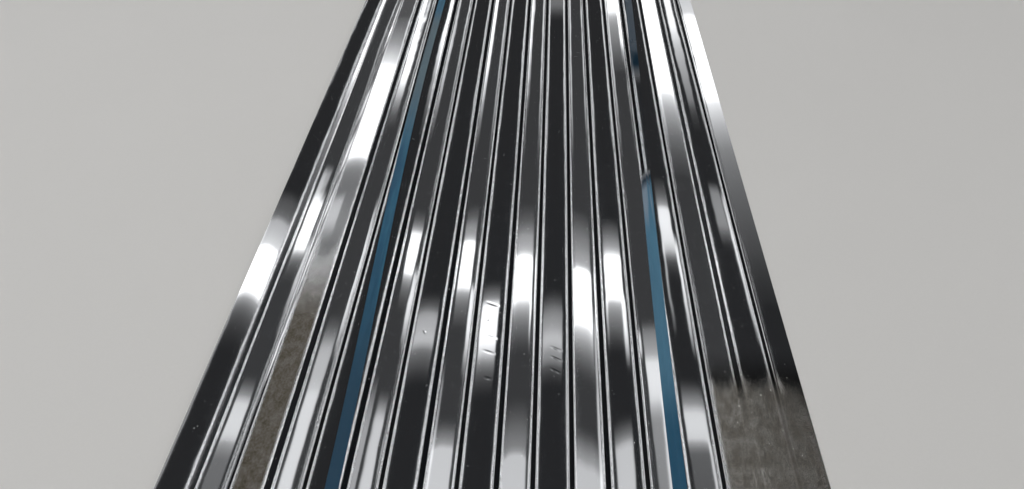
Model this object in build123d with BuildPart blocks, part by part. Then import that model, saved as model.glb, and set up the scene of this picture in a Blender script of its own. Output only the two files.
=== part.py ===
"""A trapezoidal corrugated sheet, rolled from one piece of mirror-bright stainless steel.

The ribs run along Y and the sheet lies on its valleys, with Z up. The origin is under the
middle of the sheet, on the plane that the valleys rest on. Millimetres throughout.

Seen from the near end, the section starts at the left with a flange at crown height and
ends at the right with a flange at valley height, so that the next sheet's left flange laps
over the last crown. Two strips of thin protective film still lie along the sheet.
"""

from build123d import *
from math import radians, sin, tan
import os

# Rolled section, with flats measured between the theoretical corners of the underside
sheet_length = 2000.0
sheet_thickness = 0.8
crown_count = 9
crown_width = 46.0
valley_width = 37.4
rib_depth = 7.0
web_angle = 28.0

# Radii on the hollow side of the bends: a crown's edges are crisp, and a valley's are soft
crown_bend = 6.0
valley_bend = 18.0

# Protective film left on the face of the sheet. A strip laid by hand wanders a little from
# the line of the ribs: this is how far it lies to the right of the middle of its crown, in
# strip widths, at even stations from the near end of the sheet to the far end.
film_width = 20.0
film_thickness = 0.1
left_strip_crown = 3
left_strip_drift = [0.50, 0.33, -0.60, -0.82, -0.70]
right_strip_crown = crown_count - 1
right_strip_drift = [-1.65, -1.70, -1.15, -0.50, -0.05]

half_turn = tan(radians(web_angle) / 2)
web_run = rib_depth / tan(radians(web_angle))
web_length = rib_depth / sin(radians(web_angle))
pitch = crown_width + valley_width + 2 * web_run
web_count = 2 * crown_count - 1
sheet_width = crown_count * (crown_width + valley_width) + web_count * web_run
cover_width = (crown_count - 1) * pitch

# The two bends of a web share its length, so a short web takes tighter bends
bend_room = 0.98 * web_length / half_turn - sheet_thickness
bend_share = min(1.0, bend_room / (crown_bend + valley_bend))
crown_inner = crown_bend * bend_share
valley_inner = valley_bend * bend_share


def crown_middle(crown):
    """Place across the sheet of the middle of a crown, counted from the left."""
    return -sheet_width / 2 + (crown - 1) * pitch + crown_width / 2


def section_corners(lift):
    """Corners of the section's line at a height above the underside, from left to right.

    A line that is offset upwards moves each corner of a falling web to the right, and each
    corner of a rising web to the left, by the lift times the tangent of half the turn.
    """
    shift = lift * half_turn
    corners = [(-sheet_width / 2, rib_depth + lift)]
    for crown in range(1, crown_count + 1):
        crown_end = crown_middle(crown) + crown_width / 2
        valley_start = crown_end + web_run
        corners.append((crown_end + shift, rib_depth + lift))
        corners.append((valley_start + shift, lift))
        if crown < crown_count:
            valley_end = valley_start + valley_width
            corners.append((valley_end - shift, lift))
            corners.append((valley_end + web_run - shift, rib_depth + lift))
    corners.append((sheet_width / 2, lift))
    return corners


def bend_radii(lift):
    """Radius of every bend at that height: a crown's opens with it and a valley's closes."""
    at_crown = crown_inner + lift
    at_valley = valley_inner + sheet_thickness - lift
    rising_web = [at_valley, at_crown]
    falling_web = [at_crown, at_valley]
    return falling_web + (rising_web + falling_web) * (crown_count - 1)


def draw_layer(lower, upper):
    """Closed outline of a layer that follows the corrugations between two lifts."""
    below = section_corners(lower)
    above = section_corners(upper)
    FilletPolyline(*below, radius=bend_radii(lower))
    FilletPolyline(*above, radius=bend_radii(upper))
    Line(below[0], above[0])
    Line(below[-1], above[-1])


def draw_band(middle, drift):
    """Plan of a strip that runs the length of the sheet in a gentle curve."""
    step = sheet_length / (len(drift) - 1)
    edges = []
    for side in (-film_width / 2, film_width / 2):
        stations = [
            (middle + widths * film_width + side, -sheet_length / 2 + place * step)
            for place, widths in enumerate(drift)
        ]
        edges.append(Spline(*stations))
    Line(edges[0] @ 0, edges[1] @ 0)
    Line(edges[0] @ 1, edges[1] @ 1)


os.makedirs("parts", exist_ok=True)

# The sheet: one section, rolled straight along the whole length
with BuildPart() as corrugated_sheet:
    with BuildSketch(Plane.XZ) as section:
        with BuildLine():
            draw_layer(0, sheet_thickness)
        make_face()
    extrude(amount=sheet_length / 2, both=True)
corrugated_sheet.part.label = "corrugated_sheet"
export_step(corrugated_sheet.part, "parts/corrugated_sheet.step")

# The film: a thin layer on the face of the sheet, cut to a band in plan
film_strips = {
    "film_strip_left": (crown_middle(left_strip_crown), left_strip_drift),
    "film_strip_right": (crown_middle(right_strip_crown), right_strip_drift),
}
for name, (middle, drift) in film_strips.items():
    with BuildPart() as film_strip:
        with BuildSketch(Plane.XZ):
            with BuildLine():
                draw_layer(sheet_thickness, sheet_thickness + film_thickness)
            make_face()
        extrude(amount=sheet_length / 2, both=True)
        with BuildSketch(Plane.XY):
            with BuildLine():
                draw_band(middle, drift)
            make_face()
        extrude(amount=rib_depth + sheet_thickness + film_thickness, mode=Mode.INTERSECT)
    film_strip.part.label = name
    export_step(film_strip.part, f"parts/{name}.step")

print(f"pitch {pitch:.2f}, finished width {sheet_width:.1f}, cover width {cover_width:.1f}")
print(f"flat width before rolling {section.sketch.area / sheet_thickness:.1f}")
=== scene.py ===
# %% [markdown]
# # A mirror-bright corrugated sheet
# The real object is one piece of stock: a stainless steel sheet, polished like a mirror and
# rolled into shallow ribs, with two strips of blue protective film still lying along it.
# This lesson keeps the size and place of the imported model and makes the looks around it. The
# frame is loaded first, and its box is written down, so that nothing made later outgrows it.

# %% Load the frame
import math
import random

import bpy
import numpy as np
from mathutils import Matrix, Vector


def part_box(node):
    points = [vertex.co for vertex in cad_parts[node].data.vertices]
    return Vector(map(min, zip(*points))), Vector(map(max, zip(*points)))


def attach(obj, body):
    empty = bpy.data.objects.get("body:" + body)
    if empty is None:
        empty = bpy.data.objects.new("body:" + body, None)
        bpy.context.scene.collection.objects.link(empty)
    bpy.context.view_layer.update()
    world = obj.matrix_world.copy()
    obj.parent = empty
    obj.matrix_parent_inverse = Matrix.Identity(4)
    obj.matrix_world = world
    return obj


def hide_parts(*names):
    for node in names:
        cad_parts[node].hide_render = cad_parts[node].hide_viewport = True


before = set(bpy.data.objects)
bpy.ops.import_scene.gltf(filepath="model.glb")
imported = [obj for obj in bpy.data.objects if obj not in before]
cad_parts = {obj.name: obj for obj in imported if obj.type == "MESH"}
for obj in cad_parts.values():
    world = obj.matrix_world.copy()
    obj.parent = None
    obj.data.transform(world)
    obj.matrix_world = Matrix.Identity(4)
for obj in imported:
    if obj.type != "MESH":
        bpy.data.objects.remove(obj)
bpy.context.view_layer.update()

MM = 0.001
sheet_low, sheet_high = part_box("corrugated_sheet")
sheet_length = sheet_high.y - sheet_low.y
sheet_width = sheet_high.x - sheet_low.x
sheet_top = sheet_high.z
print(f"sheet {sheet_width / MM:.1f} x {sheet_length / MM:.0f} x {sheet_top / MM:.1f} mm")

# %% [markdown]
# ## The rolled section
# A rolled section is a few flats joined by bends. It could be drawn by hand as a curve, but a
# mirror shows every kink, so it is worked out: each bend is a true arc, and each point carries
# the tilt of the surface there. The tilt is what a mirror shows, and it is kept for the normals.
# The crowns have crisp edges and the valleys soft ones, which is why the line of light on a
# crown's edge stays put while the one beside a valley wanders.

# %% Sizes of the section
crown_count = 9
crown_width = 46.0 * MM
valley_width = 37.4 * MM
thickness = 0.8 * MM
web_angle = math.radians(28.0)
crown_bend = 6.0 * MM
valley_bend = 18.0 * MM

rib_depth = sheet_top - thickness
half_turn = math.tan(web_angle / 2)
web_run = rib_depth / math.tan(web_angle)
pitch = crown_width + valley_width + 2 * web_run
section_width = crown_count * (crown_width + valley_width) + (2 * crown_count - 1) * web_run
print(f"pitch {pitch / MM:.2f} mm, width off by {(section_width - sheet_width) / MM:.3f} mm")


def crown_middle(crown):
    """Place across the sheet of the middle of a crown, counted from the left."""
    return sheet_low.x + (crown - 1) * pitch + crown_width / 2


def valley_middle(valley):
    """Place across the sheet of the middle of a valley, counted from the left."""
    return crown_middle(valley) + crown_width / 2 + web_run + valley_width / 2


# %% [markdown]
# ## Stations across the face
# A long rolled piece needs points only where its section turns. A station is one such place:
# how far across it lies, how high, how much the face tilts, and which flat it belongs to. A
# curve with a bevel could make them, but it wouldn't say which flat a point is on, and the
# flats are wanted one by one below.

# %% A list of stations
bend_steps = 8
flat_steps = 8


class Section:
    """Stations of the top face from left to right, each with its height, tilt and flat."""

    def __init__(self):
        self.across, self.height, self.tilt = [], [], []
        self.flat, self.share = [], []

    def station(self, across, height, tilt, flat=-1, share=0.0):
        self.across.append(across)
        self.height.append(height)
        self.tilt.append(tilt)
        self.flat.append(flat)
        self.share.append(share)

    def level(self, start, end, height, flat):
        """A flat, whose share runs from -1 to 1 across it."""
        for step in range(flat_steps + 1):
            along = step / flat_steps
            self.station(start + along * (end - start), height, 0.0, flat, 2 * along - 1)

    def bend(self, middle, height, radius, start, end):
        """An arc about a middle: a crown's has its middle below, and its radius is positive."""
        for step in range(bend_steps + 1):
            tilt = start + (end - start) * step / bend_steps
            if tilt != 0.0:
                across = middle + radius * math.sin(tilt)
                self.station(across, height + radius * math.cos(tilt), tilt)


print(f"{bend_steps} steps to a bend and {flat_steps} to a flat")

# %% Stations from the left edge to the right
top_shift = thickness * half_turn
crown_radius = crown_bend + thickness
crown_tangent = crown_radius * half_turn
valley_tangent = valley_bend * half_turn
section = Section()
for crown in range(1, crown_count + 1):
    crown_start = crown_middle(crown) - crown_width / 2
    crown_end = crown_middle(crown) + crown_width / 2
    valley_start = crown_end + web_run
    valley_end = valley_start + valley_width
    left = crown_start if crown == 1 else crown_start - top_shift + crown_tangent
    right = crown_end + top_shift - crown_tangent
    if crown > 1:
        section.bend(left, sheet_top - crown_radius, crown_radius, -web_angle, 0.0)
    section.level(left, right, sheet_top, 2 * crown - 2)
    section.bend(right, sheet_top - crown_radius, crown_radius, 0.0, web_angle)
    left = valley_start + top_shift + valley_tangent
    right = sheet_high.x if crown == crown_count else valley_end - top_shift - valley_tangent
    section.bend(left, thickness + valley_bend, -valley_bend, web_angle, 0.0)
    section.level(left, right, thickness, 2 * crown - 1)
    if crown < crown_count:
        section.bend(right, thickness + valley_bend, -valley_bend, 0.0, -web_angle)
across = np.array(section.across)
height = np.array(section.height)
tilt = np.array(section.tilt)
flat = np.array(section.flat)
share = np.array(section.share)
print(f"{len(across)} stations across, smallest step {np.diff(across).min() / MM:.2f} mm")

# %% [markdown]
# ## The play of thin sheet
# Thin sheet is never quite flat. Each flat sinks a little at its middle, and the amount comes
# and goes along the length. A few hundredths of a millimetre are enough to bend what the mirror
# shows. It could be a bump in the finish, but here the mesh itself moves, and it stays between
# the highest and lowest points of the rolled section.

# %% Play of the flats
random.seed(7)
play = 0.03 * MM
swell_length, swell_waves = 0.9, 3
length_steps = 80
along = np.linspace(sheet_low.y, sheet_high.y, length_steps + 1)


def wave(longest, count):
    """A gentle line along the sheet, from 0 to 1, made of a few sine waves."""
    total = np.zeros_like(along)
    for number in range(1, count + 1):
        phase = random.uniform(0, 2 * math.pi)
        total += np.sin(2 * math.pi * along * number / longest + phase) / number
    return 0.5 + 0.5 * total / np.abs(total).max()


swell_along = [wave(swell_length, swell_waves) for _ in range(2 * crown_count)]
window = np.cos(share * math.pi / 2) ** 2
swell = np.zeros((len(along), len(across)))
for number in range(2 * crown_count):
    on_flat = flat == number
    swell[:, on_flat] = -play * swell_along[number][:, None] * window[on_flat]
squeeze = (rib_depth - play) / rib_depth
surface = thickness + play + (height - thickness) * squeeze + swell
print(f"the face lies between {surface.min() / MM:.2f} and {surface.max() / MM:.2f} mm")

# %% [markdown]
# ## Which way each flat looks
# A mirror turns a ray by twice its own slope, so a flat that leans by one degree shows a part of
# the room that is two degrees away, and no two flats agree. The lean is far too small to be
# seen as a shape, so it goes into the normals of the face, beside the true tilt of the bends.
# A soft valley bend turns late: most of its turn is in the last few millimetres before the web,
# which is why its line of light is as narrow as the one on the crisp crown.

# %% Normals of the face
own_lean = 0.0015
lean_length, lean_waves = 1.4, 2
valley_ease = 8.0
in_valley = height < thickness + valley_bend * (1 - math.cos(web_angle)) + 0.01 * MM
turned = np.abs(tilt) / web_angle
eased = np.where(in_valley, turned ** valley_ease, turned) * web_angle * np.sign(tilt)
slope_across = np.gradient(swell, across, axis=1) - np.tan(eased)[None, :]
slope_along = np.gradient(swell, along, axis=0)
for number in range(2 * crown_count):
    lean = own_lean * (2 * wave(lean_length, lean_waves) - 1)
    slope_along[:, flat == number] += lean[:, None]
face_normals = np.stack([-slope_across, -slope_along, np.ones_like(surface)], axis=-1)
face_normals /= np.linalg.norm(face_normals, axis=-1, keepdims=True)
true_normals = np.stack([np.sin(tilt), np.zeros_like(tilt), np.cos(tilt)], axis=-1)
print(f"steepest normal {np.degrees(np.arccos(face_normals[:, :, 2].min())):.1f} degrees")

# %% [markdown]
# ## The sheet as one closed mesh
# The top face is a grid of the stations. The underside is the same grid moved in by the
# thickness, along the surface and not straight down, so that a web is as thick as a flat. Four
# narrow rims close it, as shears leave them. All the corners of the faces get their normals from
# the section, so no shading is guessed from the mesh. A Solidify modifier would be shorter, but
# it would throw the given normals away.

# %% Faces between two grids


def grid_faces(rows, columns):
    """Faces of the top, of the bottom and of the rim between two grids of points."""
    count = rows * columns
    index = np.arange(count).reshape(rows, columns)
    a, b = index[:-1, :-1].ravel(), index[:-1, 1:].ravel()
    c, d = index[1:, 1:].ravel(), index[1:, :-1].ravel()
    top = np.stack([a, b, c, d], axis=1)
    bottom = np.stack([a, d, c, b], axis=1) + count
    border = np.concatenate([index[0, :], index[1:, -1], index[-1, -2::-1], index[-2:0:-1, 0]])
    following = np.roll(border, -1)
    rim = np.stack([border, border + count, following + count, following], axis=1)
    return top, bottom, rim


print(f"the sheet gets {sum(len(part) for part in grid_faces(len(along), len(across)))} faces")

# %% A thin closed piece


def closed_sheet(name, upper, lower, normals):
    """A piece between two grids of points, with given normals. Its rim has material 1."""
    top, bottom, rim = grid_faces(*upper.shape[:2])
    points = np.concatenate([upper.reshape(-1, 3), lower.reshape(-1, 3)])
    faces = np.concatenate([top, bottom, rim])
    mesh = bpy.data.meshes.new(name)
    mesh.from_pydata(points.tolist(), [], faces.tolist())

    corner, below, following = points[rim[:, 0]], points[rim[:, 1]], points[rim[:, 3]]
    rim_normals = np.cross(below - corner, following - corner)
    rim_normals /= np.linalg.norm(rim_normals, axis=1, keepdims=True)
    given = normals.reshape(-1, 3)
    corner_normals = np.concatenate([
        given[top.ravel()],
        -given[bottom.ravel() - len(given)],
        np.repeat(rim_normals, 4, axis=0),
    ])
    mesh.polygons.foreach_set("use_smooth", [True] * len(faces))
    mesh.normals_split_custom_set(corner_normals.tolist())
    on_rim = np.zeros(len(faces), dtype=int)
    on_rim[-len(rim):] = 1
    mesh.polygons.foreach_set("material_index", on_rim)
    piece = bpy.data.objects.new(name, mesh)
    bpy.context.scene.collection.objects.link(piece)
    return piece


print("a piece is an upper grid, a lower grid and a rim")

# %% The rolled sheet
upper = np.empty((len(along), len(across), 3))
upper[:, :, 0] = across[None, :]
upper[:, :, 1] = along[:, None]
upper[:, :, 2] = surface
lower = upper - thickness * true_normals[None, :, :]
lower[:, 0, 0] = sheet_low.x
lower[:, -1, 0] = sheet_high.x
sheet = closed_sheet("rolled_sheet", upper, lower, face_normals)
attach(sheet, "root")
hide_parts("corrugated_sheet")
print(f"{sheet.name} has {len(sheet.data.polygons)} faces")

# %% [markdown]
# ## The strips of film
# Each strip was laid by hand, so it wanders across the ribs. It could be a flat ribbon that is
# shrink-wrapped onto the sheet. Here it is laid by sum: at every row its middle comes from a
# smooth line through a few places, and its height is read from the face below it. A hair's gap
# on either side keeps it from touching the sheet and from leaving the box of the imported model.

# %% Where the strips lie
film_width = 20.0 * MM
film_thickness = 0.1 * MM
film_gap = 0.005 * MM
film_columns = 40
# Each is the crown that it starts from, and how far to the right of that crown's middle it lies
# at even places from the near end to the far end, in strip widths
drifts = {
    "film_strip_left": (3, [0.50, 0.33, -0.60, -0.82, -0.70]),
    "film_strip_right": (crown_count - 1, [-1.65, -1.70, -1.15, -0.50, -0.05]),
}
print(f"{len(drifts)} strips, {film_width / MM:.0f} mm wide")

# %% Strips laid on the face
for node, (crown, drift) in drifts.items():
    stations = np.linspace(sheet_low.y, sheet_high.y, len(drift))
    wander = np.polynomial.Polynomial.fit(stations, drift, len(drift) - 1)
    middle = crown_middle(crown) + wander(along) * film_width
    side = np.linspace(-0.5, 0.5, film_columns + 1) * film_width
    places = middle[:, None] + side[None, :]
    under = np.empty((len(along), film_columns + 1, 3))
    outward = np.empty_like(under)
    for row in range(len(along)):
        under[row, :, 0] = places[row]
        under[row, :, 1] = along[row]
        under[row, :, 2] = np.interp(places[row], across, surface[row])
        for axis in range(3):
            outward[row, :, axis] = np.interp(places[row], across, face_normals[row, :, axis])
    outward /= np.linalg.norm(outward, axis=-1, keepdims=True)
    lift = outward * [1, 0, 1]
    strip = closed_sheet(
        node.replace("film_strip", "protective_film"),
        under + (film_thickness - film_gap) * lift,
        under + film_gap * lift,
        outward,
    )
    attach(strip, "root")
    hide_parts(node)
    node_low, node_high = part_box(node)
    print(f"{node}: from {places.min() / MM:.1f} to {places.max() / MM:.1f} mm, "
          f"CAD {node_low.x / MM:.1f} to {node_high.x / MM:.1f} mm")

# %% [markdown]
# ## Shader sums as plain Python
# A material is a sum of masks and values. Wiring Math nodes by hand hides the sum, so one small
# class wraps an output socket and lets Python write it: `1 - mask` adds the node by itself.
# Every other node comes from one method that takes its type, its settings and its sockets, so
# that a whole finish reads as a list of what spoils it and by how much.

# %% A socket that can be used in a sum


class Value:
    """An output socket that can be used in a sum. Each operator adds one Math node."""

    def __init__(self, socket):
        self.socket = socket

    def _math(self, operation, first, second):
        tree = self.socket.node.id_data
        made = tree.nodes.new("ShaderNodeMath")
        made.operation = operation
        for slot, item in zip(made.inputs, (first, second)):
            if isinstance(item, Value):
                tree.links.new(item.socket, slot)
            else:
                slot.default_value = item
        return Value(made.outputs[0])

    def __add__(self, other):
        return self._math("ADD", self, other)

    def __radd__(self, other):
        return self._math("ADD", other, self)

    def __sub__(self, other):
        return self._math("SUBTRACT", self, other)

    def __rsub__(self, other):
        return self._math("SUBTRACT", other, self)

    def __mul__(self, other):
        return self._math("MULTIPLY", self, other)

    def __rmul__(self, other):
        return self._math("MULTIPLY", other, self)

    def __truediv__(self, other):
        return self._math("DIVIDE", self, other)


print("a socket can be added, subtracted, multiplied and divided")

# %% A node tree with one method for any node


class Nodes:
    """A node tree with one method for any node, and shorter names for the commonest ones."""

    def __init__(self, name, tree=None):
        if tree is None:
            self.material = bpy.data.materials.new(name)
            self.material.use_nodes = True
            tree = self.material.node_tree
        self.tree = tree
        self.tree.nodes.clear()

    def node(self, kind, settings=None, sockets=None, output=0):
        """Any node: first its settings, then the values or links of its sockets."""
        made = self.tree.nodes.new(kind)
        for name, value in (settings or {}).items():
            if name == "stops":
                stops = made.color_ramp.elements
                stops[0].position, stops[1].position = value[0][0], value[-1][0]
                for place, _ in value[1:-1]:
                    stops.new(place)
                for stop, (_, colour) in zip(stops, value):
                    stop.color = (*colour, 1.0)
            elif name == "ease":
                made.color_ramp.interpolation = value
            else:
                setattr(made, name, value)
        for name, value in (sockets or {}).items():
            slot = made.inputs[name]
            if isinstance(value, Value):
                self.tree.links.new(value.socket, slot)
            else:
                slot.default_value = (*value, 1.0) if slot.type == "RGBA" else value
        return Value(made.outputs[output]) if made.outputs else None

    def place(self):
        """The point on the object, in metres."""
        return self.node("ShaderNodeTexCoord", output="Object")

    def parts(self, vector):
        """The three numbers of a vector."""
        split = self.node("ShaderNodeSeparateXYZ", sockets={0: vector})
        return [Value(socket) for socket in split.socket.node.outputs]

    def stretched(self, vector, scale, turn=0.0):
        """The same place, turned about Z and stretched."""
        turned = self.node(
            "ShaderNodeVectorRotate",
            {"rotation_type": "Z_AXIS"},
            {"Vector": vector, "Angle": math.radians(turn)},
        )
        return self.node("ShaderNodeVectorMath", {"operation": "MULTIPLY"}, {0: turned, 1: scale})

    def noise(self, vector, scale, detail=2.0, roughness=0.5):
        """Soft noise from 0 to 1, mostly near a half."""
        return self.node(
            "ShaderNodeTexNoise",
            sockets={"Vector": vector, "Scale": scale, "Detail": detail, "Roughness": roughness},
        )


print("any node comes from one method")

# %% [markdown]
# ## Masks by place
# A mask is 1 where something is and 0 where it isn't. It could be painted, but the sheet is
# two metres long and its marks are millimetres wide, so a picture sharp enough would be huge.
# A mask made from the place on the object is sharp at any size, and is measured in metres.

# %% Masks and the surface


class Finish(Nodes):
    """The node tree of a material or a world, with a few named shapes of mask."""

    def rise(self, value, low, high):
        """A soft step from 0 to 1. It falls instead where low is above high."""
        start, end = (0.0, 1.0) if low < high else (1.0, 0.0)
        low, high = min(low, high), max(low, high)
        return self.node(
            "ShaderNodeMapRange",
            {"interpolation_type": "SMOOTHSTEP"},
            {"Value": value, "From Min": low, "From Max": high, "To Min": start, "To Max": end},
        )

    def within(self, value, low, high, soft):
        """1 between two places, and 0 away from them."""
        return self.rise(value, low - soft, low + soft) * self.rise(value, high + soft, high - soft)

    def mark(self, x, y, centre, turn, long, wide):
        """A soft lozenge with its long side turned from X by some degrees."""
        cosine, sine = math.cos(math.radians(turn)), math.sin(math.radians(turn))
        start = centre[0] * cosine + centre[1] * sine
        offset = centre[1] * cosine - centre[0] * sine
        lengthwise = x * cosine + y * sine
        crosswise = y * cosine - x * sine
        reach = self.within(lengthwise, start - long / 4, start + long / 4, long / 3)
        return reach * self.within(crosswise, offset - wide / 8, offset + wide / 8, wide / 2)

    def blend(self, mask, first, second):
        """One colour where the mask is 0 and another where it is 1."""
        factor, colour_a, colour_b, colour_result = 0, 6, 7, 2
        sockets = {factor: mask, colour_a: first, colour_b: second}
        return self.node("ShaderNodeMix", {"data_type": "RGBA"}, sockets, colour_result)

    def fine_relief(self, height):
        """A bump whose height is in metres."""
        sockets = {"Strength": 1.0, "Distance": 1.0, "Height": height}
        return self.node("ShaderNodeBump", None, sockets)

    def surface(self, sockets):
        """The one shader of the material."""
        shader = self.node("ShaderNodeBsdfPrincipled", sockets=sockets)
        self.node("ShaderNodeOutputMaterial", sockets={"Surface": shader})
        print(f"{self.material.name} has {len(self.tree.nodes)} nodes")
        return self.material


print("a finish is made of masks")

# %% [markdown]
# ## Mirror-bright steel
# Bright stainless steel is a tinted mirror: fully metallic, grey, and so smooth that its
# roughness is well under a tenth. What makes it real is what spoils the mirror. There is the
# haze that a wiping cloth leaves, a few slanting dents on three crowns, hair-fine scratches
# along the ribs, and dust. At two near places the colour holds a mottled brown painted
# reflection, and the steel is duller there. It could be one noise for all, but each has its
# own scale and place. So each is a mask, and each feeds the roughness, the colour or a fine bump.

# %% Colours of the steel
steel_grey = (0.60, 0.61, 0.62)
# The brown and the warm grey are the colours of a painted reflection of a dark brown thing.
painted_reflection_brown = (0.066, 0.055, 0.039)
painted_reflection_grey = (0.155, 0.147, 0.132)
dust_grey = (0.60, 0.59, 0.57)

steel = Finish("bright_steel")
point = steel.place()
x, y, _ = steel.parts(point)
print("the bloom goes from", painted_reflection_brown, "to", painted_reflection_grey)

# %% Haze and hairlines
wiped = steel.noise(steel.stretched(point, (7.0, 1.8, 1.0), 8.0), 1.0, 4.0, 0.55)
haze = steel.rise(wiped, 0.50, 0.80)

hairline = steel.noise(steel.stretched(point, (420.0, 4.0, 1.0), 1.5), 1.0, 2.0, 0.6)
print("haze over the sheet and hairlines along the ribs")

# %% [markdown]
# ## Painted brown reflection
# At two places the steel is made dull, and its colour holds a painted reflection of a dark
# brown thing: along crown 2 near the left corner, and across the right corner, where the
# painted brown runs ahead of the dull part. It could be painted on with an image, but two masks
# by place and two noises do it. Blotches of about a thumb's width are mixed with a fine mottle,
# from brown to warm grey.

# %% Painted brown reflection on crown 2 and at the right corner
# The brown at these places is a painted reflection, and the steel is also made duller here.
crown_two = steel.within(x, crown_middle(2) - 0.021, crown_middle(2) + 0.021, 0.003)
near_painted_reflection = crown_two * steel.rise(y, -0.20, -0.42)
at_right = steel.rise(x, 0.334, 0.346)
right_dull_part = at_right * steel.rise(y, -0.50, -0.60)
right_painted_reflection = at_right * steel.rise(y, -0.46, -0.545)
painted_reflection = near_painted_reflection + 0.9 * right_dull_part

blotches = steel.noise(steel.stretched(point, (62.0, 44.0, 1.0)), 1.0, 3.0, 0.6)
mottle = steel.noise(point, 270.0, 3.0, 0.7)
blotchy = 0.60 * steel.rise(blotches, 0.30, 0.70) + 0.40 * steel.rise(mottle, 0.36, 0.66)
print(f"bloom on crown 2, {crown_middle(2) / MM:.0f} mm from the middle, and from 334 mm on")

# %% [markdown]
# ## Dents and rubs
# The crowns have been knocked while the sheet was handled. Each knock is a short slanting dent
# a few millimetres wide, too shallow to change the shape, so it is a bump. Each has its own row
# in a table, because a random scatter would look like wear and not like knocks.

# %% Dents, each a soft lozenge at its own place
# Each is (crown, mm to the right of its middle, metres along the sheet, turn in degrees,
# length and width in mm)
marks = [
    (5, 0, -0.380, -22, 28, 6.5),
    (5, -7, -0.413, -15, 8, 6.0),
    (5, 2, -0.446, -20, 26, 5.5),
    (5, 0, -0.474, -20, 26, 6.0),
    (5, 3, -0.521, -20, 16, 6.0),
    (6, 4, -0.468, -24, 24, 5.0),
    (6, 4, -0.486, -26, 24, 4.5),
    (6, 3, -0.508, -28, 22, 5.0),
    (4, -3, -0.436, -60, 16, 5.0),
]
dents = 0.0
for crown, right_of_middle, place_along, turn, long, wide in marks:
    middle = crown_middle(crown) + right_of_middle * MM
    dents = dents + steel.mark(x, y, (middle, place_along), turn, long * MM, wide * MM)
print(f"{len(marks)} dents on crowns {sorted({mark[0] for mark in marks})}")

# %% [markdown]
# ## Dust
# A few specks lie on any sheet that has stood in a workshop. Scattered pieces would be heavy for
# something so small. The cells of a Voronoi texture give one speck each, at its own size.

# %% Dust
dust_cell = 12.5 * MM
dust_cells = steel.node(
    "ShaderNodeTexVoronoi",
    {"feature": "F1"},
    {"Vector": point, "Scale": 1 / dust_cell, "Randomness": 1.0},
)
dust_size = steel.noise(point, 12.0, 2.0, 0.5)
dust = steel.rise(dust_cells + 0.10 * dust_size, 0.100, 0.080)
print(f"dust in cells of {dust_cell / MM:.1f} mm")

# %% The steel put together
# The mottled brown is a painted reflection, and the dust is real dust.
colour = steel.blend(blotchy, painted_reflection_brown, painted_reflection_grey)
colour = steel.blend(near_painted_reflection + 0.92 * right_painted_reflection, steel_grey, colour)
colour = steel.blend(0.5 * dust, colour, dust_grey)
polish = 0.016 + 0.010 * haze + 0.006 * hairline
spoiled = 0.26 * painted_reflection + 0.03 * dents + 0.3 * dust
buckle = steel.noise(steel.stretched(point, (16.0, 9.0, 1.0)), 1.0, 2.0, 0.5)
bright_steel = steel.surface({
    "Base Color": colour,
    "Metallic": 1.0,
    "Roughness": polish + spoiled,
    "Normal": steel.fine_relief(0.00004 * buckle - 0.00009 * dents),
})
sheet.data.materials.append(bright_steel)

# %% [markdown]
# ## The sheared edge
# Shears leave a narrow rim that is torn, not polished: duller, with fine lines across the
# thickness. The mirror could simply run round it, but a second material on the rim faces alone
# tells the eye how thin the sheet is.

# %% Sheared edge
rim = Finish("sheared_edge")
point = rim.place()
tear = rim.noise(rim.stretched(point, (900.0, 900.0, 120.0)), 1.0, 3.0, 0.6)
sheared_edge = rim.surface({
    "Base Color": rim.blend(tear, (0.34, 0.35, 0.36), (0.60, 0.60, 0.61)),
    "Metallic": 1.0,
    "Roughness": 0.32 + 0.2 * tear,
    "Normal": rim.fine_relief(0.0001 * tear),
})
sheet.data.materials.append(sheared_edge)

# %% [markdown]
# ## Protective film
# The film is thin blue polyethylene: a soft sheen over a deep colour, with fine creases along
# its length. The left strip is deepest at its near end, and towards its far end it greys: that
# grey is painted glare, and the film is turned partly metallic there as well. The right strip is
# paler at its middle, breaks into grey streaks, and then clings so closely that only the steel
# is seen, until a trace of dark blue comes back near the far end. It could be a clear sheet over
# the steel, which is slow and noisy. Here one shader turns to metal there, and the creases are
# smoothed away.

# %% Colours of the film
film_blue = (0.004, 0.070, 0.135)
film_pale = (0.014, 0.118, 0.205)
film_deep = (0.000, 0.030, 0.064)
film_light = (0.090, 0.225, 0.330)
film_streaked = (0.240, 0.290, 0.345)
# This grey-blue is painted glare on the far end of the left strip.
film_painted_glare = (0.120, 0.165, 0.185)
film_clear = (0.010, 0.022, 0.038)
film_unseen = (0.54, 0.56, 0.58)

film = Finish("protective_film")
point = film.place()
x, y, _ = film.parts(point)
print("the film is", film_blue, "on its way from", film_deep, "to", film_light)

# %% Patches, creases and streaks of the film
patches = film.noise(film.stretched(point, (60.0, 5.0, 1.0)), 1.0, 3.0, 0.55)
crease = film.noise(film.stretched(point, (420.0, 16.0, 1.0), 3.0), 1.0, 3.0, 0.6)
streak = film.noise(film.stretched(point, (160.0, 3.0, 1.0)), 1.0, 2.0, 0.5)
streaks = film.rise(streak, 0.44, 0.58)
faded = film.rise(patches, 0.36, 0.64) * film.rise(y, -0.66, -0.25)
print("three noises, all stretched along the strips")

# %% Where each strip greys or turns clear
on_left = film.rise(x, 0.01, -0.01)
on_right = 1 - on_left
greys = film.rise(y + 0.25 * streak, 0.12, 0.42)
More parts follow.
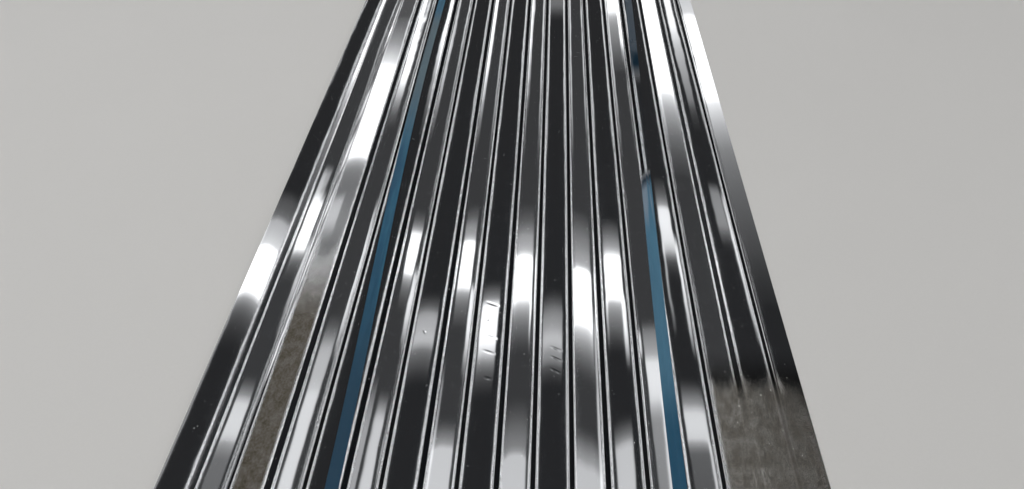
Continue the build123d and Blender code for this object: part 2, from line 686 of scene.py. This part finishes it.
# Painted glare: the far end of the left strip is greyed and turned partly metallic.
painted_glare = on_left * greys * film.rise(y, 0.64, 0.54)
ragged = y + 0.06 * streak
clear = on_right * film.rise(ragged, -0.07, -0.03)
smooth = clear * film.rise(y, 0.50, 0.36)
unseen = on_right * film.rise(ragged, -0.035, -0.005) * film.rise(y, 0.36, 0.26)
print("the right strip can't be seen from about -0.05 to 0.30 m")

# %% The film put together
near_left = 0.85 * on_left * film.rise(y, -0.22, -0.60)
middle_right = 0.60 * on_right * film.within(y, -0.55, -0.06, 0.06)
streaks_right = 0.75 * on_right * streaks * film.within(y, -0.18, -0.04, 0.04)
colour = film.blend(faded, film_blue, film_pale)
for mask, tint in (
    (near_left, film_deep),
    (middle_right, film_light),
    (streaks_right, film_streaked),
    (0.85 * painted_glare, film_painted_glare),
    (0.90 * clear, film_clear),
    (unseen, film_unseen),
):
    colour = film.blend(mask, colour, tint)
protective_film = film.surface({
    "Base Color": colour,
    "Metallic": 0.60 * painted_glare + 0.15 * clear + 0.85 * unseen,
    "Roughness": (0.30 + 0.20 * crease - 0.08 * greys) * (1 - 0.94 * smooth),
    "Specular IOR Level": 0.36,
    "Normal": film.fine_relief(0.00010 * crease * (1 - smooth)),
})
for name in ("protective_film_left", "protective_film_right"):
    for face_or_rim in range(2):
        bpy.data.objects[name].data.materials.append(protective_film)

# %% [markdown]
# ## Floor
# The floor is plain and pale, so that the eye stays on the metal. It could be a studio sweep,
# but one large face does, and a trace of tone keeps it from looking like paper.

# %% Floor
floor_reach = 40.0
floor_mesh = bpy.data.meshes.new("floor")
corners = [(a * floor_reach, b * floor_reach, 0.0) for a, b in ((-1, -1), (1, -1), (1, 1), (-1, 1))]
floor_mesh.from_pydata(corners, [], [(0, 1, 2, 3)])
floor = bpy.data.objects.new("floor", floor_mesh)
bpy.context.scene.collection.objects.link(floor)
ground = Finish("pale_floor")
point = ground.place()
tone = ground.noise(point, 1.3, 4.0, 0.6)
grain = ground.noise(point, 220.0, 2.0, 0.6)
floor_mesh.materials.append(ground.surface({
    "Base Color": ground.blend(0.6 * tone + 0.4 * grain, (0.74, 0.73, 0.71), (0.80, 0.79, 0.77)),
    "Roughness": 0.75,
}))

# %% [markdown]
# ## Where the camera stands
# The photograph looks steeply down along the ribs. The camera could come last, as it often
# does, but a mirror can only be lit for one place to look from, so that place comes first. It
# was worked out from the point where the ribs meet and from the width of the sheet.

# %% Camera place
camera_height = 0.826
camera_right = 0.097
camera_back = 0.889
camera_fall = math.radians(52.07)
focal_pixels = 540.0
picture_width = 1024
print(f"the camera is {camera_height:.2f} m above the sheet, {camera_back:.2f} m back")

# %% [markdown]
# ## A room for a mirror
# Polished steel has no colour of its own: it shows the room. The room is dark overhead, with
# softboxes. Area lamps could be hung for them, but fifty small lamps in a mirror are slow and
# grainy. A world that is drawn by direction costs nothing and has no grain. A direction is named
# by the place on the sheet where a level mirror would show it to the camera, so that each
# softbox is drawn over the flat that it should turn white. Only glossy rays see the room, and
# everything else gets a plain soft light. The light isn't sampled as a lamp, since a mirror finds
# it anyway.

# %% Directions as places on the sheet
world = bpy.data.worlds.new("room")
world.use_nodes = True
world.cycles.sampling_method = "NONE"
bpy.context.scene.world = world
room = Finish("room", world.node_tree)
right, ahead, up = room.parts(room.node("ShaderNodeTexCoord", output="Generated"))
overhead = room.rise(up, 0.03, 0.08)
steepness = up * overhead + (1 - overhead)
to_right = right / steepness
shown_x = to_right * camera_height + camera_right
shown_y = ahead / steepness * camera_height - camera_back
print("a direction is now a place on the sheet")

# %% [markdown]
# ## Softboxes over crowns and valleys
# Each flat shows one or more pale patches with a sharp end and a soft end. They could be plain
# rectangles, but then every end would look alike, so each softbox has its own few steps of
# brightness along the sheet. They were placed flat by flat, and rounded.

# %% Softboxes over the crowns
# Each is (flat, its left and right edge in mm from the middle of the flat, lean, brightness
# at some places along the sheet, from the near end to the far end)
over_crowns = [
    (1, -26, 20, 0.37, [(-0.461, 0), (-0.432, 0.03), (-0.397, 0.1), (-0.363, 0.42), (-0.352, 2.6),
        (-0.251, 2.6), (-0.242, 0.9), (-0.188, 0.75), (-0.175, 0.14), (-0.137, 0.12), (-0.114, 0)]),
    (2, -21, 21, 0, [(-0.287, 0), (-0.264, 0.1), (-0.234, 0.3), (-0.17, 0.38), (-0.1, 0.2),
        (-0.04, 0.28), (-0.002, 0.55), (0.014, 2.6), (0.328, 2.6), (0.364, 1.2), (0.444, 0.45),
        (0.571, 0.1)]),
    (2, -21, 0, 0, [(-0.247, 0), (-0.214, 0.1), (-0.183, 0.55), (-0.128, 0.55), (-0.106, 0)]),
    (3, 11, 22, 0, [(0.092, 0), (0.223, 0.2), (0.373, 0.8), (0.519, 2.2), (1, 2.4)]),
    (4, -19, 13, 0, [(-0.524, 0), (-0.499, 0.08), (-0.47, 0.22), (-0.459, 0.6), (-0.448, 0.85),
        (-0.432, 0.7), (-0.401, 0.6), (-0.388, 0.15), (-0.363, 0)]),
    (5, -17.5, 10.5, 0, [(-0.541, 0), (-0.51, 0.1), (-0.489, 0.35), (-0.474, 1), (-0.448, 2),
        (-0.38, 2.4), (-0.372, 0.5), (-0.361, 0.3), (-0.339, 0)]),
    (6, -17.5, 12, 0, [(-0.524, 0), (-0.496, 0.12), (-0.489, 0.38), (-0.474, 0.4), (-0.459, 0.75),
        (-0.444, 0.85), (-0.425, 0.5), (-0.401, 0.4), (-0.378, 0.12), (-0.355, 0)]),
    (6, -20, 20, 0, [(0.571, 0), (0.604, 0.05), (0.649, 0.22), (1, 0.35)]),
    (7, -14.6, 13.6, 0, [(-0.461, 0), (-0.432, 0.12), (-0.397, 0.35), (-0.372, 0.7), (-0.363, 2.6),
        (-0.273, 2.6), (-0.264, 0.9), (-0.249, 0.5), (-0.222, 0.2), (-0.188, 0)]),
    (7, 9, 16, 0, [(-0.489, 0), (-0.467, 0.6), (-0.432, 1.4), (-0.372, 1.8), (-0.355, 0)]),
    (7, -16, -12, 0, [(-0.461, 0), (-0.442, 0.15), (-0.397, 0.6), (-0.372, 1.3), (-0.359, 0)]),
    (7, -14.6, 9.4, -0.4, [(-0.9, 0.85), (-0.629, 0.95), (-0.62, 0.4), (-0.608, 0.2), (-0.59, 0)]),
    (8, -9, 12, 0, [(-0.317, 0), (-0.287, 0.08), (-0.273, 0.3), (-0.259, 0.8), (-0.234, 1.3),
        (-0.153, 1.6), (-0.142, 0.4), (-0.114, 0.15), (-0.07, 0)]),
    (8, 12, 17.5, 0, [(-0.47, 0), (-0.432, 0.7), (-0.339, 1.6), (-0.247, 1.8), (-0.222, 0)]),
    (8, -10, -7, 0, [(-0.432, 0), (-0.372, 0.6), (-0.259, 0.9), (-0.234, 0)]),
    (8, -13, 16, 0, [(-0.9, 0.06), (-0.642, 0.12), (-0.626, 0.35), (-0.617, 1.1), (-0.575, 1.1),
        (-0.567, 0.45), (-0.551, 0.25), (-0.531, 0)]),
    (8, 13, 18, 0, [(-0.9, 0.9), (-0.626, 1), (-0.617, 0)]),
    (9, -7, 8, 0, [(0.092, 0), (0.165, 0.06), (0.204, 0.3), (0.306, 0.5), (0.444, 0.8),
        (0.545, 1.6), (1, 2.4)]),
    (9, -4, 14, 0, [(-0.247, 0), (-0.219, 0.15), (-0.196, 0.42), (-0.108, 0.4), (-0.085, 0)]),
    (9, 16, 22, 0, [(-0.452, 0), (-0.372, 0.9), (-0.259, 1.6), (-0.128, 0.9), (-0.1, 0)]),
]
print(f"{len(over_crowns)} softboxes over the crowns")

# %% Softboxes over the valleys
over_valleys = [
    (1, -6, 5, 0, [(-0.145, 0), (-0.128, 1), (-0.058, 0.8), (-0.034, 0)]),
    (1, -9.5, 13, 0, [(-0.317, 0), (-0.287, 0.12), (-0.264, 0.4), (-0.249, 2.6), (-0.145, 2.6),
        (-0.128, 0.9), (-0.106, 0)]),
    (1, 14.5, 19, 0, [(-0.432, 0), (-0.372, 0.5), (-0.317, 1), (-0.259, 1.4), (-0.222, 0)]),
    (1, -9, 9, 0, [(-0.9, 0.12), (-0.649, 0.15), (-0.625, 0.4), (-0.614, 1.1), (-0.561, 1.1),
        (-0.548, 0.35), (-0.524, 0)]),
    (2, -12, 5, 0, [(0.11, 0), (0.173, 0.15), (0.244, 0.9), (0.306, 2.4), (1, 2.6)]),
    (2, 13, 18.5, 0, [(-0.48, 0), (-0.452, 0.5), (-0.392, 1.4), (-0.247, 1.6), (-0.161, 0.9),
        (-0.123, 0)]),
    (2, -10, 9, 0, [(-0.9, 1), (-0.551, 1.15), (-0.538, 0.8), (-0.51, 0.7), (-0.47, 0.75),
        (-0.442, 0.2), (-0.409, 0)]),
    (3, -5.6, 10, 0, [(-0.382, 0), (-0.35, 0.15), (-0.322, 0.45), (-0.31, 2.6), (-0.224, 2.6),
        (-0.214, 0.5), (-0.193, 0.15), (-0.167, 0)]),
    (3, 13, 18.7, 0, [(-0.461, 0), (-0.432, 0.6), (-0.397, 1.4), (-0.319, 1.6), (-0.301, 0)]),
    (3, -18, -9, 0, [(0.057, 0), (0.128, 0.12), (0.204, 0.35), (0.306, 0.85), (0.493, 0.9),
        (1, 0.8)]),
    (3, 0, 11, 0, [(-0.9, 1), (-0.59, 0.95), (-0.571, 0.45), (-0.549, 0)]),
    (3, -17, -7, 0, [(-0.9, 0.55), (-0.605, 0.55), (-0.558, 0.3), (-0.524, 0)]),
    (4, -12, 10, 0, [(-0.423, 0), (-0.382, 0.2), (-0.355, 0.5), (-0.344, 2.6), (-0.242, 2.6),
        (-0.234, 0.5), (-0.204, 0.4), (-0.183, 0.14), (-0.151, 0)]),
    (4, 13, 18.7, 0, [(-0.507, 0), (-0.47, 0.8), (-0.432, 1.6), (-0.35, 1.8), (-0.337, 0)]),
    (4, -18, -9, 0, [(0.04, 0), (0.11, 0.15), (0.184, 0.4), (0.285, 1), (0.373, 2), (1, 2.4)]),
    (4, -19, 14, 0, [(-0.9, 0.9), (-0.633, 0.95), (-0.629, 0.5), (-0.617, 0.3), (-0.597, 0)]),
    (4, -20, -14, 0, [(-0.9, 0.8), (-0.605, 0.6), (-0.532, 0.35), (-0.489, 0)]),
    (5, -17, 13.6, 0, [(-0.47, 0), (-0.442, 0.1), (-0.409, 0.3), (-0.382, 0.8), (-0.367, 2.6),
        (-0.271, 2.6), (-0.264, 0.6), (-0.224, 0.5), (-0.209, 0.3), (-0.183, 0.1), (-0.142, 0)]),
    (5, 9, 14, 0, [(-0.47, 0), (-0.442, 0.3), (-0.413, 1.2), (-0.378, 1.8), (-0.367, 0)]),
    (5, -18, -9, 0, [(0.146, 0), (0.223, 0.15), (0.35, 0.5), (0.444, 1.2), (1, 1.4)]),
    (5, -20, 15, 0, [(-0.9, 0.85), (-0.645, 0.9), (-0.641, 0.35), (-0.631, 0.28), (-0.597, 0.1),
        (-0.566, 0)]),
    (6, -18, 12, 0.77, [(-0.524, 0), (-0.498, 0.1), (-0.467, 0.35), (-0.438, 1), (-0.423, 2.6),
        (-0.31, 2.6), (-0.306, 0.6), (-0.287, 0.55), (-0.259, 0.35), (-0.214, 0.15), (-0.17, 0)]),
    (6, 14.5, 18.7, 0, [(-0.9, 0.9), (-0.432, 0.9), (-0.392, 0)]),
    (6, -19, 17, 0.6, [(-0.9, 0.85), (-0.661, 0.85), (-0.652, 0.45), (-0.635, 0.3), (-0.613, 0)]),
    (7, -10, 18, 0, [(-0.9, 0.25), (-0.59, 0.35), (-0.569, 0.6), (-0.549, 1.25), (-0.49, 1.3),
        (-0.481, 0.6), (-0.461, 0.45), (-0.432, 0.25), (-0.417, 0)]),
    (7, -21, -16, 0, [(-0.481, 0), (-0.47, 1.2), (-0.44, 1.2), (-0.428, 0)]),
    (7, 3, 18, 0, [(-0.9, 0.55), (-0.62, 0.7), (-0.569, 0.8), (-0.549, 0)]),
    (7, -15, 18, 0, [(0.328, 0), (0.42, 0.15), (0.519, 0.35), (0.593, 0.5), (0.632, 2.2),
        (1, 2.4)]),
    (7, 8, 18, 0, [(0.373, 0), (0.429, 0.5), (0.478, 1.6), (0.604, 2.2), (0.637, 0)]),
    (8, -20, 19, 0.3, [(-0.055, 0), (0.024, 0.1), (0.092, 0.25), (0.165, 0.6), (0.219, 1.2),
        (0.244, 2.6), (1, 2.4)]),
    (9, -18, 30, 0, [(-0.372, 0), (-0.259, 0.06), (-0.1, 0.18), (0.024, 0.3), (0.11, 0.7),
        (0.188, 1.3), (0.223, 2.6), (0.582, 2.6), (0.615, 0.8), (1, 0.75)]),
]
print(f"{len(over_valleys)} softboxes over the valleys")

# %% [markdown]
# ## Drawing the softboxes
# A colour ramp holds the steps of one softbox, from the near end of the sheet to the far end. Its
# B-spline rounds the steps, but never quite reaches them, so the first and last step are given
# twice, which lets a dark end be truly dark. The ends bow a little, and a slow noise bends them,
# because rolled sheet isn't a perfect mirror.

# %% Softboxes drawn
brightest = 3.0
bow = 18.0
side_blur = 1.8 * MM
run_out = 0.02
unevenness = 0.016
place = room.node("ShaderNodeCombineXYZ", sockets={"X": shown_x, "Y": shown_y})
uneven = room.noise(room.stretched(place, (26.0, 2.5, 1.0)), 1.0, 1.0, 0.5)
shown_y = shown_y + unevenness * uneven - unevenness / 2
glow = 0.0
for boxes, middle_of in ((over_crowns, crown_middle), (over_valleys, valley_middle)):
    for number, left_edge, right_edge, lean, stops in boxes:
        from_middle = shown_x - middle_of(number)
        lengthwise = shown_y + from_middle * (lean + bow * from_middle)
        (first_place, first), (last_place, last) = stops[0], stops[-1]
        stops = [
            (max(-1.0, first_place - run_out), first),
            *stops,
            (min(1.0, last_place + run_out), last),
        ]
        steps = [((along_sheet + 1) / 2, [value / brightest] * 3) for along_sheet, value in stops]
        brightness = room.node(
            "ShaderNodeValToRGB", {"ease": "B_SPLINE", "stops": steps}, {0: (lengthwise + 1) / 2}
        )
        over_flat = room.within(from_middle, left_edge * MM, right_edge * MM, side_blur)
        glow = glow + brightness * over_flat
glow = glow * brightest
print(f"{len(over_crowns) + len(over_valleys)} softboxes drawn")

# %% [markdown]
# ## Lines of light on the bends
# Each bend turns through a wide angle in a few millimetres, so it squeezes half the room into
# one line. For that line to be bright in every rib, and the flats beside it dark, the light must
# come from where no flat looks. Such places are the thin gaps in which a flat would be, if a web
# weren't there, and the sides of the room, between the directions in which the webs look. Each
# gap could have its own strips, but nine ribs of them make the world too large to draw. One
# ramp over a single pitch, repeated, lights them all. A second ramp takes over for the far half
# of the sheet, which is seen at a flatter angle and shows its lines elsewhere.

# %% The lights over one web, near and far
# Each is (its near and far edge in mm from the middle of a web, brightness), on the side of the
# crown and on the side of the valley
near_pattern = {
    "crown": [(0.0, 2.2, 8.0), (5.4, 9.2, 0.75)],
    "valley": [(0.0, 2.2, 8.0), (5.4, 6.6, 0.75)],
}
far_pattern = {
    "crown": [(0.0, 2.2, 2.0), (7.8, 11.2, 1.25)],
    "valley": [(0.0, 2.2, 2.0), (7.2, 10.4, 1.15)],
}
strongest = 8.0
soft_edge = 0.35 * MM
over_valley = 0.035
print(f"the strongest light is {strongest}, and the shine over a valley {over_valley}")

# %% One pitch of lights as stops of a ramp


def one_side(lights, last):
    """Stops on one side of a web, from its middle outwards."""
    stops = []
    for inner, outer, value in lights:
        if inner > 0:
            stops += [(inner * MM - soft_edge, 0.0), (inner * MM + soft_edge, value)]
        stops += [(outer * MM - soft_edge, value), (outer * MM + soft_edge, 0.0)]
    stops[-1] = (stops[-1][0], last)
    return stops


def one_pitch(pattern):
    """Stops from the middle of a crown to the middle of the next crown."""
    on_crown = one_side(pattern["crown"], 0.0)
    on_valley = one_side(pattern["valley"], over_valley)
    falling = (crown_width + web_run) / 2
    rising = pitch - falling
    stops = [(0.0, 0.0)]
    stops += [(falling - place, value) for place, value in reversed(on_crown)]
    stops += [(falling + place, value) for place, value in on_valley]
    stops += [(rising - place, value) for place, value in reversed(on_valley)]
    stops += [(rising + place, value) for place, value in on_crown]
    stops.append((pitch, 0.0))
    steps = [(place / pitch, [value / strongest] * 3) for place, value in stops]
    return {"ease": "LINEAR", "stops": steps}


print(f"{len(one_pitch(near_pattern)['stops'])} stops to a pitch of {pitch / MM:.1f} mm")

# %% The pitch repeated over the sheet
last_web_shown = sheet_high.x - 0.04
across_pitch = (shown_x - crown_middle(1)) / pitch
in_pitch = room.node("ShaderNodeMath", {"operation": "FRACT"}, {0: across_pitch})
near_ribs = room.node("ShaderNodeValToRGB", one_pitch(near_pattern), {0: in_pitch})
far_ribs = room.node("ShaderNodeValToRGB", one_pitch(far_pattern), {0: in_pitch})
far = room.rise(ahead, 0.71, 0.87)
ribs = near_ribs * (1 - far) + far_ribs * far
glow = glow + strongest * ribs * room.within(shown_x, sheet_low.x, last_web_shown, 0.01)
print("two ramps light every web")

# %% [markdown]
# ## Wide strips at the sides
# A bend also sweeps over the sides of the room. Light there fills the rest of its line, but a
# web that looked at it would turn white. So the direction in which each web looks is worked
# out, and a strip goes into every gap between them that is wide enough and that no flat sees.

# %% Directions in which the webs look
webs = [(crown, 1) for crown in range(1, crown_count + 1)]
webs += [(crown, -1) for crown in range(2, crown_count + 1)]
seen_by_webs = []
for crown, side in webs:
    web_place = crown_middle(crown) + side * (crown_width + web_run) / 2 - camera_right
    seen_by_webs.append(math.atan(web_place / camera_height) + side * 2 * web_angle)
seen_by_webs = sorted(math.degrees(angle) for angle in seen_by_webs)
rightmost_flat = math.degrees(math.atan((sheet_high.x - camera_right) / camera_height))
leftmost_flat = math.degrees(math.atan((sheet_low.x - camera_right) / camera_height))
print("the webs look to", [round(angle) for angle in seen_by_webs], "degrees from overhead")
print(f"the flats look to {leftmost_flat:.0f} up to {rightmost_flat:.0f} degrees")

# %% Strips between those directions, in degrees
kept_from_web = 1.6
narrowest = 0.8
lowest_strip = 75
strip_brightness = 1.5
strips = 0.0
for here, following in zip(seen_by_webs[:-1], seen_by_webs[1:]):
    low, high = here + kept_from_web, following - kept_from_web
    no_flat_sees = low > rightmost_flat or high < leftmost_flat
    if high - low > narrowest and no_flat_sees and abs(low) < lowest_strip:
        low, high = math.tan(math.radians(low)), math.tan(math.radians(high))
        strips = strips + strip_brightness * room.within(to_right, low, high, 0.012)
        print(f"strip from {low:.2f} to {high:.2f}")
glow = glow + strips * (1 - 0.75 * far)

# %% [markdown]
# ## The room put together
# Behind the lights the room is nearly black overhead and paler down at the horizon, as rooms
# are. The flats near the sides of the sheet look to its darkest parts. Only glossy rays see all
# this. The camera sees a plain pale backdrop, and everything else a plain even light, at which
# the blue of the film looks as it is written.

# %% The dark of the room
shade = room.node(
    "ShaderNodeValToRGB",
    {"stops": [
        (0.0, (0.30, 0.30, 0.30)),
        (0.02, (0.16, 0.16, 0.16)),
        (0.06, (0.035, 0.035, 0.036)),
        (1.0, (0.030, 0.031, 0.033)),
    ]},
    {0: up},
)
darker_at_sides = 0.022
sideways = room.rise(to_right, 0.50, 0.60) + room.rise(to_right, -0.78, -0.88)
glow = glow - darker_at_sides * sideways * overhead
softbox_white = room.node("ShaderNodeCombineColor", sockets={0: glow, 1: glow, 2: glow * 1.01})
lit_room = room.node(
    "ShaderNodeVectorMath", {"operation": "ADD"}, {0: shade, 1: softbox_white}
)
print("the softboxes hang in the dark room")

# %% Who sees what
plain_light = (0.50, 0.50, 0.50)
backdrop = (0.78, 0.78, 0.77)
path = room.node("ShaderNodeLightPath")
outputs = path.socket.node.outputs
plain = room.blend(Value(outputs["Is Camera Ray"]), plain_light, backdrop)
seen = room.blend(Value(outputs["Is Glossy Ray"]), plain, lit_room)
background = room.node("ShaderNodeBackground", None, {"Color": seen, "Strength": 1.0})
room.node("ShaderNodeOutputWorld", sockets={"Surface": background})
print(f"the room has {len(room.tree.nodes)} nodes")

# %% [markdown]
# ## One lamp
# A broad soft lamp over the sheet gives the film and the floor their light, and the sheet its
# shadow. A sun lamp would be simpler, but its shadow is hard. The lamp is kept out of the
# reflections, where it would cover the softboxes.

# %% Key lamp
lamp_side = 4.0
lamp_level = 0.75
lamp = bpy.data.lights.new("key", "AREA")
lamp.shape = "RECTANGLE"
lamp.size = lamp_side
lamp.size_y = lamp_side
lamp.energy = lamp_level * math.pi * lamp_side * lamp_side
key = bpy.data.objects.new("key", lamp)
bpy.context.scene.collection.objects.link(key)
key.location = (-1.6, -0.6, 4.0)
key.rotation_euler = (math.radians(-8), math.radians(-20), 0.0)
key.visible_glossy = False
print(f"key lamp of {lamp_side:.0f} m, {lamp.energy:.1f} W")

# %% [markdown]
# ## Camera
# The camera stands where the room was drawn for. It could be aimed at a target, but its fall
# below the horizon is known, so one angle sets it. A small shift of the lens frames the sheet.

# %% Camera
lens = bpy.data.cameras.new("camera")
lens.sensor_width = 36.0
lens.lens = focal_pixels * lens.sensor_width / picture_width
lens.shift_x = -0.048
camera = bpy.data.objects.new("camera", lens)
bpy.context.scene.collection.objects.link(camera)
camera.location = (camera_right, -camera_back, sheet_top + camera_height)
camera.rotation_euler = (math.pi / 2 - camera_fall, 0.0, 0.0)
bpy.context.scene.camera = camera
bpy.context.scene.view_settings.view_transform = "Standard"
print(f"lens {lens.lens:.1f} mm, {math.degrees(camera_fall):.1f} degrees down")
